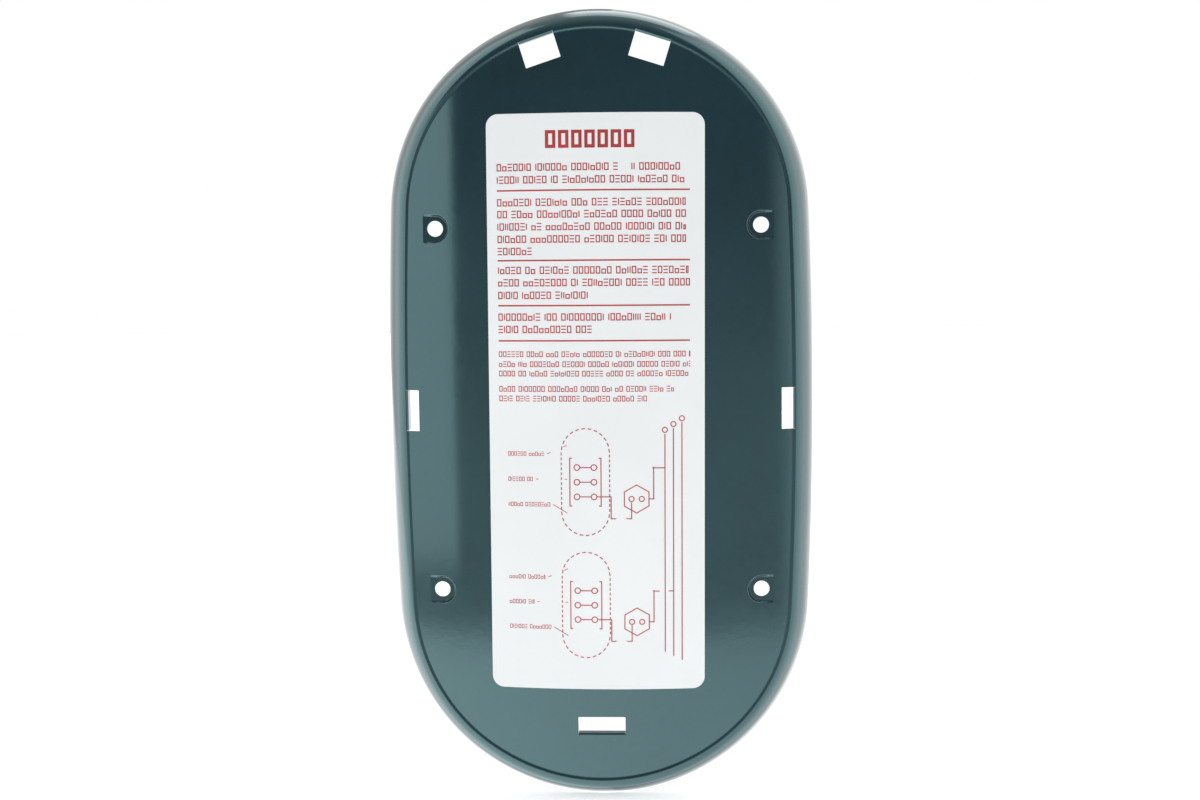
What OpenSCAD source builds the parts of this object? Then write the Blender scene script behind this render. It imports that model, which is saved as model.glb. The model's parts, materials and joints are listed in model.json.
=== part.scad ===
// Access cover of an electric tank water heater: one stamped steel sheet, bent to
// the round of the heater's jacket, with a printed label stuck on its face.
// X is to the right, Z is up, and the face looks along -Y. The origin is the middle
// of the four screw holes, in the plane that the screw heads press on.

/* [Cover] */
// Overall width of the cover
cover_w = 153.2; // [126:0.2:184]
// Overall height of the cover
cover_h = 279.4; // [230:0.2:336]
// Radius that the face is bent to, about an upright axis
face_r = 254; // [210:1:320]
// Thickness of the steel sheet
sheet_t = 0.7; // [0.5:0.05:1]

/* [Outline] */
// Radius of the two long sides, which bow out a little
side_r = 1590; // [1000:10:3000]
// How much more the radius of each end is than half the width
end_extra = 3.3; // [2:0.1:5]
// How far the bowed sides run on towards the ends before the shoulders start
side_lead = 9; // [7:0.5:12]

/* [Rim] */
// Width of the raised rim, from the outer edge to the crease
rim_w = 8.1; // [6.8:0.1:9.7]
// Height of the rim's crest in front of the face
rim_rise = 0.2; // [0.15:0.05:0.5]
// Width of the short slope between the crease and the crest
slope_w = 1.3; // [1.1:0.1:1.8]
// How far the rim's back edge is behind the face
rim_depth = 7; // [5.8:0.1:8.4]
// How far the rim's back edge leans out, in degrees from straight back
rim_lean = 20; // [12:1:24]

/* [Screw seats] */
// Diameter of each screw hole
hole_d = 5.55; // [4:0.05:6.5]
// From the cover's side to the middle of a screw hole
hole_from_side = 19.2; // [17.5:0.1:23]
// From the cover's end to the middle of a screw hole
hole_from_end = 75.05; // [68:0.05:82]
// Radius of the round inner end of each flat seat
seat_r = 4.7; // [4:0.1:6]
// From the hole out to the line where the flat seat runs into the face
seat_run = 4.3; // [3.8:0.1:4.6]

/* [Tabs] */
// Width of the tabs at the top
top_tab_w = 12.6; // [8:0.1:16]
// Length that each top tab leaves open in the face
top_tab_l = 8.6; // [6:0.1:11]
// From the upright middle line to the middle of each top tab
top_tab_x = 18.9; // [14:0.1:24]
// Angle that each top tab leans outward
top_tab_lean = 17.2; // [10:0.1:22]
// Height of the tabs at the sides
side_tab_w = 14.7; // [10:0.1:20]
// Length that each side tab leaves open in the face
side_tab_l = 4.1; // [3.5:0.1:6]
// Width of the tab at the bottom
bottom_tab_w = 16.8; // [12:0.1:22]
// Length that the bottom tab leaves open in the face
bottom_tab_l = 5.6; // [4.5:0.1:8]
// From the cover's lower end to the root of the bottom tab
bottom_tab_from_end = 24.5; // [21:0.1:29]
// How far outside the crease the roots of the top and side tabs are
root_past_crease = 0.3; // [0:0.05:0.6]
// How far behind the face the hooked tabs step back
hook_step = 2.6; // [2:0.1:3.5]
// Length of the hooked tabs' tongues
hook_l = 4; // [3:0.1:4.5]
// How much narrower each tab is than its slot, on each side
shear_gap = 0.1; // [0.05:0.05:0.2]

/* [Label] */
// Width of the label, along the bend
label_w = 76.2; // [40:0.2:80]
// From the label's ends to the cover's ends, when the label is in the middle
label_end_gap = 38.3; // [36:0.1:60]
// Radius of the label's corners
label_corner = 4.2; // [1:0.1:10]
// Thickness of the label
label_t = 0.15; // [0.1:0.05:0.3]
// How far the label sits to the left of the middle
label_left = 0.7; // [0:0.1:3]
// How far the label sits above the middle
label_up = 2.1; // [0:0.1:4]
// Angle that the label is turned by
label_turn = -0.3; // [-1:0.1:1]

/* [Hidden] */
$fn = 96;

COVER_COLOUR = [0.15, 0.24, 0.27];
LABEL_COLOUR = [0.93, 0.94, 0.94];

half_w = cover_w / 2;
half_h = cover_h / 2;
hole_x = half_w - hole_from_side;
hole_z = half_h - hole_from_end;
seat_out = hole_x + seat_run;

// The seats' bearing plane is y = 0 and meets the face at x = seat_out.
axis_y = sqrt(face_r * face_r - seat_out * seat_out);
BACK = 30;    // further back than anything on the cover
FRONT = 30;   // further forward than anything on the cover
function face_y(x) = axis_y - sqrt(face_r * face_r - x * x);

// Outline: a bowed side, a shoulder and an end arc in each quarter, tangent to each
// other. The shoulder's radius follows from the other two arcs.
end_r = half_w + end_extra;
end_c = [0, half_h - end_r];
side_c = [half_w - side_r, 0];
side_a = asin((half_h - half_w + side_lead) / side_r);
side_end = side_c + side_r * [cos(side_a), sin(side_a)];
reach = side_end - end_c;
lean_in = reach * [cos(side_a), sin(side_a)];
shoulder_r = (reach * reach - end_r * end_r) / (2 * (lean_in - end_r));
shoulder_c = side_end - shoulder_r * [cos(side_a), sin(side_a)];
end_a = atan2(shoulder_c[1] - end_c[1], shoulder_c[0] - end_c[0]);

SIDE_STEPS = 3;
SHOULDER_STEPS = 12;
END_STEPS = 8;
// Each station is a point on the outline and the direction straight out from it.
function stations(c, r, a0, a1, steps, first) =
    [for (i = [first:steps]) let (a = a0 + (a1 - a0) * i / steps, out = [cos(a), sin(a)])
        [c + r * out, out]];
QUARTER = concat(stations(side_c, side_r, 0, side_a, SIDE_STEPS, 0),
                 stations(shoulder_c, shoulder_r, side_a, end_a, SHOULDER_STEPS, 1),
                 stations(end_c, end_r, end_a, 90, END_STEPS, 1));
function flip(s, fx, fz) = [[s[0][0] * fx, s[0][1] * fz], [s[1][0] * fx, s[1][1] * fz]];
LAST = len(QUARTER) - 1;
OUTLINE = concat(QUARTER,
                 [for (i = [LAST - 1:-1:0]) flip(QUARTER[i], -1, 1)],
                 [for (i = [1:LAST]) flip(QUARTER[i], -1, -1)],
                 [for (i = [LAST - 1:-1:1]) flip(QUARTER[i], 1, -1)]);
function inset(d) = [for (s = OUTLINE) s[0] - d * s[1]];

// Section of the rim. The first number runs in from the outline, the second is the
// height in front of the face. The skin on show comes first, then the back of it.
crest_s = rim_w - slope_w;
ROLL_STEPS = 9;
SLOPE_STEPS = 5;
// The rim rolls back from the crest to its back edge along a parabola, which starts
// level and ends at the lean of that edge. These are its three control points.
hem = [0, -rim_depth];
bend = [(rim_rise + rim_depth) * tan(rim_lean), rim_rise];
crest = [crest_s, rim_rise];
function roll(t) = [for (i = [0:ROLL_STEPS]) let (
    u = i / ROLL_STEPS,
    along = (1 - u) * (bend - hem) + u * (crest - bend),
    at = (1 - u) * (1 - u) * hem + 2 * u * (1 - u) * bend + u * u * crest)
    at + t * [along[1], -along[0]] / norm(along)];
function slope(i) = let (u = i / SLOPE_STEPS)
    [crest_s + slope_w * u, rim_rise * (1 + cos(180 * u)) / 2];
back_shift = [-0.4, -1] * sheet_t;
tongue_s = rim_w + 0.5;   // the rim's inner edge, buried in the thickness of the face
face_end_s = rim_w - 0.5; // the face's outer edge, buried in the rim
RIM = concat(roll(0),
             [for (i = [1:SLOPE_STEPS - 1]) slope(i)],
             [[tongue_s, -0.35 * sheet_t], [tongue_s, -0.65 * sheet_t]],
             [[face_end_s - 0.1, -1.2 * sheet_t]],
             [for (i = [2:-1:0]) slope(i) + back_shift],
             [for (i = [ROLL_STEPS - 1:-1:0]) roll(sheet_t)[i]]);

module rim() {
    n = len(OUTLINE);
    m = len(RIM);
    points = [for (s = OUTLINE) for (p = RIM)
        let (at = s[0] - p[0] * s[1]) [at[0], face_y(at[0]) - p[1], at[1]]];
    faces = [for (i = [0:n - 1]) for (j = [0:m - 1])
        let (a = i * m + j, b = i * m + (j + 1) % m,
             c = ((i + 1) % n) * m + (j + 1) % m, d = ((i + 1) % n) * m + j)
        each [[a, b, c], [a, c, d]]];
    polyhedron(points, faces, convexity = 6);
}

// Everything that is drawn flat, seen from the front, stands up along Y through here.
module from_front(y0, y1) {
    translate([0, y1, 0]) rotate([90, 0, 0]) linear_extrude(y1 - y0) children();
}

// Solid round bar on the axis of the bend.
module bar(r) {
    translate([0, axis_y, -cover_h]) cylinder(r = r, h = 2 * cover_h, $fn = 360);
}

// What is drawn flat, cut from a shell between two depths behind the face.
module bent(front, back) {
    intersection() {
        difference() {
            bar(face_r - front);
            bar(face_r - back);
        }
        from_front(-FRONT, BACK) children();
    }
}

module face_sheet() {
    bent(0, sheet_t) polygon(inset(face_end_s));
}

// Flat seat of a screw: round towards the middle, straight out to where the face
// falls back to it.
module seat_outline(r) {
    flat = r - 0.05; // a little narrower than the round end, which it runs out of
    circle(r = r, $fn = 64);
    translate([0, -flat]) square([seat_run - 0.1, 2 * flat]);
}

module at_seats() {
    for (sx = [-1, 1]) for (sz = [-1, 1])
        scale([sx, 1, 1]) translate([hole_x, 0, sz * hole_z]) children();
}

module seat_cups() {
    intersection() {
        bar(face_r - sheet_t / 2);
        at_seats() from_front(-FRONT, sheet_t) seat_outline(seat_r + sheet_t);
    }
}

module seat_recesses() {
    at_seats() from_front(-FRONT, 0) union() {
        seat_outline(seat_r);
        translate([0, 0.05 - seat_r]) square([seat_run + 1, 2 * (seat_r - 0.05)]);
    }
}

module screw_holes() {
    at_seats() translate([0, sheet_t + 1, 0]) rotate([90, 0, 0])
        cylinder(d = hole_d, h = sheet_t + 2, $fn = 64);
}

// Places of the tabs. A tab's root is the outer edge of its slot.
side_root = half_w - rim_w + root_past_crease;
top_root_r = end_r - rim_w + root_past_crease;
top_mid_r = top_root_r - top_tab_l / 2;
top_mid = [top_tab_x, end_c[1] + sqrt(top_mid_r * top_mid_r - top_tab_x * top_tab_x)];
top_root = top_mid + top_tab_l / 2 * [sin(top_tab_lean), cos(top_tab_lean)];
bottom_root = half_h - bottom_tab_from_end;
// [x and z of the root's middle, turn from upright, width and length of the slot]
TOP_TABS = [for (s = [-1, 1])
    [s * top_root[0], top_root[1], s * top_tab_lean, top_tab_w, top_tab_l]];
SIDE_TABS = [for (s = [-1, 1]) [s * side_root, 0, s * 90, side_tab_w, side_tab_l]];
BOTTOM_TABS = [[0, -bottom_root, 180, bottom_tab_w, bottom_tab_l]];

module at_tab(t) {
    translate([t[0], t[1]]) rotate(-t[2]) children();
}

module slots() {
    for (t = concat(TOP_TABS, SIDE_TABS, BOTTOM_TABS))
        from_front(-FRONT, BACK) at_tab(t) translate([-t[3] / 2, -t[4]]) square([t[3], t[4]]);
}

// The front of each tab's root is buried in the thickness of the face or the rim.
root_depth = 0.2 * sheet_t;
module tab_leaf(t, l) {
    w = t[3] - 2 * shear_gap;
    at_tab(t) translate([-w / 2, 0]) square([w, l]);
}

// A tab that was cut free on three sides and bent straight back at its root.
module straight_tab(t) {
    bent(root_depth, t[4] + sheet_t) tab_leaf(t, sheet_t);
}

// A tab that steps back from its root and turns out again, behind the face.
module hooked_tab(t) {
    bent(root_depth, hook_step + sheet_t) tab_leaf(t, sheet_t);
    bent(hook_step, hook_step + sheet_t) tab_leaf(t, hook_l);
}

module cover_panel() {
    color(COVER_COLOUR) {
        difference() {
            union() {
                face_sheet();
                rim();
                seat_cups();
            }
            seat_recesses();
            screw_holes();
            slots();
        }
        for (t = SIDE_TABS) straight_tab(t);
        for (t = concat(TOP_TABS, BOTTOM_TABS)) hooked_tab(t);
    }
}

// The label runs as high as the cover leaves room for between its end slots.
label_h = cover_h - 2 * label_end_gap;

// The label's width is measured along the bend, so its outline narrows by the chord.
module label() {
    chord = 2 * face_r * sin(label_w / 2 / face_r * 180 / PI);
    core = [chord - 2 * label_corner, label_h - 2 * label_corner];
    color(LABEL_COLOUR) bent(-label_t, 0) translate([-label_left, label_up]) rotate(label_turn) {
        square([chord, core[1]], center = true);
        square([core[0], label_h], center = true);
        for (sx = [-0.5, 0.5]) for (sz = [-0.5, 0.5])
            translate([sx * core[0], sz * core[1]]) circle(r = label_corner, $fn = 48);
    }
}

cover_panel();
label();
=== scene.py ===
"""Access cover of an electric tank water heater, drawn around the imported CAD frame.

The cover is one stamped sheet of painted steel: a bent face, a rolled rim, four screw
seats and five lanced tabs. A printed label lies on the face. Lengths are in metres.
"""

import json
import math
import random

import bpy
from bpy.props import FloatProperty, FloatVectorProperty, IntProperty, PointerProperty
from mathutils import Matrix, Vector
from mathutils.geometry import delaunay_2d_cdt


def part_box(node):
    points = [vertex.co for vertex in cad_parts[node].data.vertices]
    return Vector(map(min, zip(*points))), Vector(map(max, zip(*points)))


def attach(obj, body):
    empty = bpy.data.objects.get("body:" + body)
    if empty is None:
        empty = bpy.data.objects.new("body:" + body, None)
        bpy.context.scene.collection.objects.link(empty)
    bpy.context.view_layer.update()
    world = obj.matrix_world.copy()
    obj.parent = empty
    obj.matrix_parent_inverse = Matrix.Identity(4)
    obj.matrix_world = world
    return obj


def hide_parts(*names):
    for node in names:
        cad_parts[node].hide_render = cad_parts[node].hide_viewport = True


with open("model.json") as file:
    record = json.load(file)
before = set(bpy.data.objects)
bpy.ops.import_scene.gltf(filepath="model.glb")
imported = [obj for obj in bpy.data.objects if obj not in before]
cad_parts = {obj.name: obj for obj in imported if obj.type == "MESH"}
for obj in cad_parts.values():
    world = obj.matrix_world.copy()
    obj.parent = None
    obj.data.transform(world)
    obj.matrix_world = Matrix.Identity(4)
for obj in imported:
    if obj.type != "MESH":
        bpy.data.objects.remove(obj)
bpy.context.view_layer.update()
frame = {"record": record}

bl_info = {
    "name": "Heater Access Cover",
    "version": (1, 0, 0),
    "blender": (4, 5, 0),
    "location": "View3D > Sidebar > Cover",
    "description": "Builds a stamped steel access cover with its printed label",
    "category": "Add Mesh",
}

MM = 0.001
COVER_LOW, COVER_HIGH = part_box("cover_panel")
HALF_W = (COVER_HIGH.x - COVER_LOW.x) / 2
HALF_H = (COVER_HIGH.z - COVER_LOW.z) / 2
SCREWS = next(m for m in frame["record"]["mounts"] if m["name"] == "screw_holes")["dims"]
HOLE_X = SCREWS["spacing_x_mm"] * MM / 2
HOLE_Z = SCREWS["spacing_y_mm"] * MM / 2
HOLE_R = SCREWS["hole_r_mm"] * MM
CORNERS = [(sx, sz) for sx in (-1, 1) for sz in (-1, 1)]


def length(name, millimetres, description):
    """A length that the user may change, given here in millimetres."""
    return FloatProperty(name=name, description=description, default=millimetres * MM,
                         unit="LENGTH", subtype="DISTANCE", precision=4)


def angle(name, degrees, description):
    """An angle that the user may change, given here in degrees."""
    return FloatProperty(name=name, description=description,
                         default=math.radians(degrees), subtype="ANGLE")


def colour(name, rgb, description):
    """A linear colour that the user may change."""
    return FloatVectorProperty(name=name, description=description, default=rgb, size=3,
                               min=0.0, max=1.0, subtype="COLOR")


def factor(name, value, description):
    """A share between 0 and 1 that the user may change."""
    return FloatProperty(name=name, description=description, default=value,
                         min=0.0, max=1.0, subtype="FACTOR")


class CoverSettings(bpy.types.PropertyGroup):
    """Sizes of the stamped cover."""

    face_r: length("Face radius", 254, "Radius that the face is bent to")
    sheet_t: length("Sheet thickness", 0.7, "Thickness of the steel sheet")
    side_r: length("Side radius", 1590, "Radius of the long sides, which bow out")
    end_extra: length("End extra", 3.3, "How much more than half the width the ends' radius is")
    side_lead: length("Side lead", 9, "How far the sides run on before the shoulders start")
    rim_w: length("Rim width", 8.1, "From the outer edge in to the crease")
    rim_rise: length("Rim rise", 0.2, "Height of the rim's crest in front of the face")
    slope_w: length("Slope width", 1.3, "Width of the slope from the crest to the crease")
    rim_depth: length("Rim depth", 7, "How far the rim's back edge is behind the face")
    rim_lean: angle("Rim lean", 20, "How far the rim's back edge leans out")
    seat_r: length("Seat radius", 4.7, "Radius of the round end of each screw seat")
    seat_run: length("Seat run", 4.3, "From a hole out to where its seat meets the face")
    seat_wall: length("Seat wall", 0.9, "Width of the drawn wall round each seat")
    top_tab_w: length("Top tab width", 12.6, "Width of the two tabs at the top")
    top_tab_l: length("Top slot length", 8.6, "Length that a top tab leaves open")
    top_tab_x: length("Top tab offset", 18.9, "From the middle line to a top slot's middle")
    top_tab_lean: angle("Top tab lean", 17.2, "How far the top tabs lean outward")
    side_tab_w: length("Side tab width", 14.7, "Height of the two tabs at the sides")
    side_tab_l: length("Side slot length", 4.1, "Length that a side tab leaves open")
    bottom_tab_w: length("Bottom tab width", 16.8, "Width of the tab at the bottom")
    bottom_tab_l: length("Bottom slot length", 5.6, "Length that the bottom tab leaves open")
    bottom_tab_up: length("Bottom tab height", 24.5, "From the lower end up to the tab's root")
    root_past_crease: length("Root past crease", 0.3, "Roots of the tabs outside the crease")
    hook_step: length("Hook step", 2.6, "How far behind the face the hooked tabs step back")
    hook_l: length("Hook length", 4, "How far the hooked tabs reach outward")
    bend_r: length("Tab bend radius", 0.9, "Outer radius of the bend at each tab's root")
    shear_gap: length("Shear gap", 0.1, "Gap between a tab's side and its slot's side")
    edge_r: length("Edge radius", 0.12, "Rounding of the sheared edges under the paint")
    grid: length("Grid", 2.5, "Spacing of the face's mesh")


class LabelSettings(bpy.types.PropertyGroup):
    """Sizes of the label and of the print on it."""

    width: length("Label width", 76.2, "Width of the label along the bend")
    height: length("Label height", 202.8, "Height of the label")
    corner: length("Corner radius", 4.2, "Radius of the label's corners")
    thickness: length("Label thickness", 0.15, "Thickness of the label")
    left: length("Label left", 0.7, "How far the label sits to the left of the middle")
    up: length("Label up", 2.1, "How far the label sits above the middle")
    turn: angle("Label turn", -0.3, "Angle that the label is turned by")
    ink_t: length("Ink thickness", 0.012, "Thickness of the printed ink")
    line_w: length("Line width", 0.4, "Width of the thin printed lines")
    seed: IntProperty(name="Print seed", description="Seed of the blind print", default=7)
    stock_colour: colour("Stock colour", (0.84, 0.87, 0.88), "Colour of the label's film")
    ink_colour: colour("Ink colour", (0.36, 0.022, 0.026), "Colour of the print")


class PaintSettings(bpy.types.PropertyGroup):
    """Finish of the painted steel."""

    paint: colour("Paint", (0.0105, 0.0295, 0.0385), "Colour of the gloss paint")
    worn: colour("Worn edge", (0.10, 0.13, 0.13), "Colour where the paint is thin on edges")
    tint: colour("Gloss tint", (0.60, 0.98, 1.0), "Tint of the gloss seen head on")
    roughness: factor("Roughness", 0.09, "Roughness of the gloss paint")
    back_roughness: factor("Back roughness", 0.42, "Roughness of the thin coat at the back")


class StageSettings(bpy.types.PropertyGroup):
    """Floor, soft light and camera."""

    floor_colour: colour("Floor colour", (0.90, 0.90, 0.90), "Colour of the pale floor")
    floor_size: length("Floor size", 9000, "Width and depth of the floor")
    floor_glow: factor("Floor glow", 0.5, "Light that the floor gives of itself")
    lamp_w: length("Lamp width", 400, "Width of the low lamp")
    lamp_h: length("Lamp height", 80, "Height of the low lamp")
    lamp_forward: length("Lamp forward", 220, "From the origin forward to the low lamp")
    lamp_up: length("Lamp up", 30, "Height of the low lamp above the floor")
    lamp_power: FloatProperty(name="Lamp power", description="In watts", default=0.055)
    lens: FloatProperty(name="Lens", description="Focal length in millimetres", default=42.459)
    camera_x: length("Camera right", 22.48, "Camera's place to the right of the origin")
    camera_y: length("Camera forward", -500.82, "Camera's place along Y")
    camera_z: length("Camera up", 46.64, "Camera's place above the origin")
    yaw: FloatProperty(name="Yaw", description="Turn to the left", default=0.0443,
                       subtype="ANGLE")
    pitch: FloatProperty(name="Pitch", description="Tilt up", default=-0.0859, subtype="ANGLE")
    roll: FloatProperty(name="Roll", description="Turn about the view", default=0.0114,
                        subtype="ANGLE")


# ---------------------------------------------------------------- shape of the sheet


class Outline:
    """The cover's outer edge from the front: a side, a shoulder and an end arc per quarter."""

    def __init__(self, s):
        self.end_r = HALF_W + s.end_extra
        self.end_z = HALF_H - self.end_r
        self.side_x = HALF_W - s.side_r
        self.side_r = s.side_r
        self.side_a = math.asin((HALF_H - HALF_W + s.side_lead) / s.side_r)
        unit = Vector((math.cos(self.side_a), math.sin(self.side_a)))
        side_end = Vector((self.side_x, 0)) + s.side_r * unit
        reach = side_end - Vector((0, self.end_z))
        self.shoulder_r = ((reach.length_squared - self.end_r ** 2)
                           / (2 * (reach.dot(unit) - self.end_r)))
        self.shoulder = side_end - self.shoulder_r * unit
        self.end_a = math.atan2(self.shoulder.y - self.end_z, self.shoulder.x)

    def frame(self, x, z):
        """How far a point is inside the outline, and the direction straight out from it."""
        ax, az = abs(x), abs(z)
        if math.atan2(az, ax - self.side_x) <= self.side_a:
            cx, cz, r = self.side_x, 0.0, self.side_r
        elif math.atan2(az - self.end_z, ax) >= self.end_a:
            cx, cz, r = 0.0, self.end_z, self.end_r
        else:
            cx, cz, r = self.shoulder.x, self.shoulder.y, self.shoulder_r
        dx, dz = ax - cx, az - cz
        reach = math.hypot(dx, dz) or 1e-9
        return r - reach, (math.copysign(dx / reach, x), math.copysign(dz / reach, z))

    def ring(self, inset, spacing):
        """Points of the closed curve that lies a fixed distance inside the outline."""
        arcs = [(self.side_x, 0.0, self.side_r, 0.0, self.side_a),
                (self.shoulder.x, self.shoulder.y, self.shoulder_r, self.side_a, self.end_a),
                (0.0, self.end_z, self.end_r, self.end_a, math.pi / 2)]
        quarter = []
        for cx, cz, r, start, stop in arcs:
            steps = max(2, round(r * (stop - start) / spacing))
            for i in range(steps):
                a = start + (stop - start) * i / steps
                quarter.append((cx + (r - inset) * math.cos(a), cz + (r - inset) * math.sin(a)))
        top = (0.0, self.end_z + self.end_r - inset)
        right_top = quarter + [top]
        left_top = [(-x, z) for x, z in reversed(quarter)]
        left_low = [(-x, -z) for x, z in quarter[1:]] + [(0.0, -top[1])]
        right_low = [(x, -z) for x, z in reversed(quarter[1:])]
        return right_top + left_top + left_low + right_low


class Stamping:
    """Heights of the stamped sheet: where its front and its back are at any place."""

    SOFT = 0.02 * MM        # rounding of the line where a seat's floor meets the face
    BACK_SHIFT = 0.4        # the slope's shift inward at the back, as a share of the sheet
    BACK_GROWTH = 0.7       # the seats' growth at the back, as a share of the sheet

    def __init__(self, s):
        self.s = s
        self.outline = Outline(s)
        self.seat_out = HOLE_X + s.seat_run
        self.axis_y = math.sqrt(s.face_r ** 2 - self.seat_out ** 2)
        self.crest = s.rim_w - s.slope_w
        self.bend_s = (s.rim_rise + s.rim_depth) * math.tan(s.rim_lean)

    def face_y(self, x):
        """Depth of the bent face, before its rim and seats are pressed."""
        return self.axis_y - math.sqrt(self.s.face_r ** 2 - x * x)

    def roll(self, u):
        """The rim's section from its back edge (u = 0) to its crest (u = 1)."""
        s = self.s
        inward = 2 * u * (1 - u) * self.bend_s + u * u * self.crest
        rise = -(1 - u) ** 2 * s.rim_depth + (2 * u * (1 - u) + u * u) * s.rim_rise
        along = Vector(((1 - u) * self.bend_s + u * (self.crest - self.bend_s),
                        (1 - u) * (s.rim_rise + s.rim_depth))).normalized()
        return inward, rise, along

    def roll_at(self, inward):
        """The parameter of the rolled section at a distance inside the outline."""
        a, b = self.crest - 2 * self.bend_s, 2 * self.bend_s
        return (-b + math.sqrt(b * b + 4 * a * inward)) / (2 * a)

    def rise(self, inward):
        """Height of the sheet in front of the bent face, at a distance inside the outline."""
        s = self.s
        if inward >= s.rim_w:
            return 0.0
        if inward >= self.crest:
            return s.rim_rise * (1 + math.cos(math.pi * (inward - self.crest) / s.slope_w)) / 2
        return self.roll(self.roll_at(inward))[1]

    def sink(self, x, z, grow):
        """How far a screw seat is pressed back from the face; grow widens it for the back."""
        s = self.s
        px, pz = abs(x) - HOLE_X, abs(z) - HOLE_Z
        reach = abs(pz) if px > 0 else math.hypot(px, pz)
        inner = s.seat_r - s.seat_wall / 2 + grow
        w = min(1.0, max(0.0, (reach - inner) / s.seat_wall))
        if w >= 1.0:
            return 0.0
        depth = -self.face_y(x)
        depth = (depth + math.sqrt(depth * depth + self.SOFT * self.SOFT)) / 2
        return depth * (1 + math.cos(math.pi * w)) / 2

    def front(self, x, z):
        """Depth of the sheet's front."""
        inward = self.outline.frame(x, z)[0]
        return self.face_y(x) - self.rise(inward) + self.sink(x, z, 0.0)

    def back(self, x, z):
        """Depth of the sheet's back."""
        s = self.s
        inward = self.outline.frame(x, z)[0] + self.BACK_SHIFT * s.sheet_t
        return (self.face_y(x) + s.sheet_t - self.rise(inward)
                + self.sink(x, z, self.BACK_GROWTH * s.sheet_t))


def tilt(height, x, z, side):
    """Normal of the surface y = height(x, z); side is -1 towards the front, 1 to the back."""
    e = 0.02 * MM  # half the step that the slope is taken over
    dx = (height(x + e, z) - height(x - e, z)) / (2 * e)
    dz = (height(x, z + e) - height(x, z - e)) / (2 * e)
    return Vector((-dx, 1.0, -dz)).normalized() * side


# ---------------------------------------------------------------- mesh building


class Skin:
    """Points with their normals, wear and faces, gathered before the mesh is made."""

    def __init__(self):
        self.points, self.normals, self.wear = [], [], []
        self.faces, self.kinds = [], []

    def add(self, point, normal, wear=0.0):
        """Adds a point and gives its number."""
        self.points.append(Vector(point))
        self.normals.append(Vector(normal).normalized())
        self.wear.append(wear)
        return len(self.points) - 1

    def face(self, indices, kind=0):
        """Adds a face of one kind, which is the number of its material."""
        if len(set(indices)) == len(indices):
            self.faces.append(indices)
            self.kinds.append(kind)

    def bridge(self, near, far, closed, kind=0):
        """Quads from one row of points to the next."""
        count = len(near) if closed else len(near) - 1
        for i in range(count):
            j = (i + 1) % len(near)
            self.face([near[j], near[i], far[i], far[j]], kind)

    def make(self, name, materials):
        """Makes the object, with smooth normals as they were worked out."""
        mesh = bpy.data.meshes.new(name)
        mesh.from_pydata(self.points, [], self.faces)
        mesh.polygons.foreach_set("use_smooth", [True] * len(self.faces))
        mesh.polygons.foreach_set("material_index", self.kinds)
        mesh.normals_split_custom_set_from_vertices(self.normals)
        worn = mesh.attributes.new("wear", "FLOAT", "POINT")
        worn.data.foreach_set("value", self.wear)
        mesh.update()
        for material in materials:
            mesh.materials.append(material)
        piece = bpy.data.objects.new(name, mesh)
        bpy.context.scene.collection.objects.link(piece)
        return piece


def inside(loop, x, z):
    """True if a point lies inside a closed loop."""
    hit = False
    for (x0, z0), (x1, z1) in zip(loop, loop[1:] + loop[:1]):
        if (z0 > z) != (z1 > z) and x < x0 + (z - z0) * (x1 - x0) / (z1 - z0):
            hit = not hit
    return hit


def triangulate(loops, lines, loose):
    """Flat points and triangles of a region that follows closed loops and open lines."""
    points, edges = [], []
    for path, closed in [(p, True) for p in loops] + [(p, False) for p in lines]:
        first = len(points)
        points += path
        edges += [(first + i, first + i + 1) for i in range(len(path) - 1)]
        if closed:
            edges.append((len(points) - 1, first))
    points += loose
    flat = [Vector(p) / MM for p in points]
    found, _, triangles, *_ = delaunay_2d_cdt(flat, edges, [], 0, 1e-4)
    return [(p.x * MM, p.y * MM) for p in found], triangles


def boundaries(triangles):
    """Closed loops of the points on the open edges, with the region on their left."""
    sides = {(t[i], t[(i + 1) % 3]) for t in triangles for i in range(3)}
    follow = {a: b for a, b in sides if (b, a) not in sides}
    loops = []
    while follow:
        start, point = next(iter(sorted(follow.items())))
        loop = [start]
        del follow[start]
        while point != start:
            loop.append(point)
            point = follow.pop(point)
        loops.append(loop)
    return loops


def openings(flat, loop, closed):
    """At each point of a boundary, the mitred direction into the opening beside it."""
    result = []
    count = len(loop)
    for i, point in enumerate(loop):
        around = []
        for a, b in ((i - 1, i), (i, i + 1)):
            if not closed and (a < 0 or b >= count):
                continue
            p, q = flat[loop[a % count]], flat[loop[b % count]]
            dx, dz = q[0] - p[0], q[1] - p[1]
            size = math.hypot(dx, dz)
            if size > 1e-7:
                around.append((dz / size, -dx / size))
        if len(around) == 2:
            share = max(0.5, 1 + around[0][0] * around[1][0] + around[0][1] * around[1][1])
            result.append(((around[0][0] + around[1][0]) / share,
                           (around[0][1] + around[1][1]) / share))
        else:
            result.append(around[0])
    return result


CAP_ANGLES = [math.radians(a) for a in (30, 60, 90)]


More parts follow.
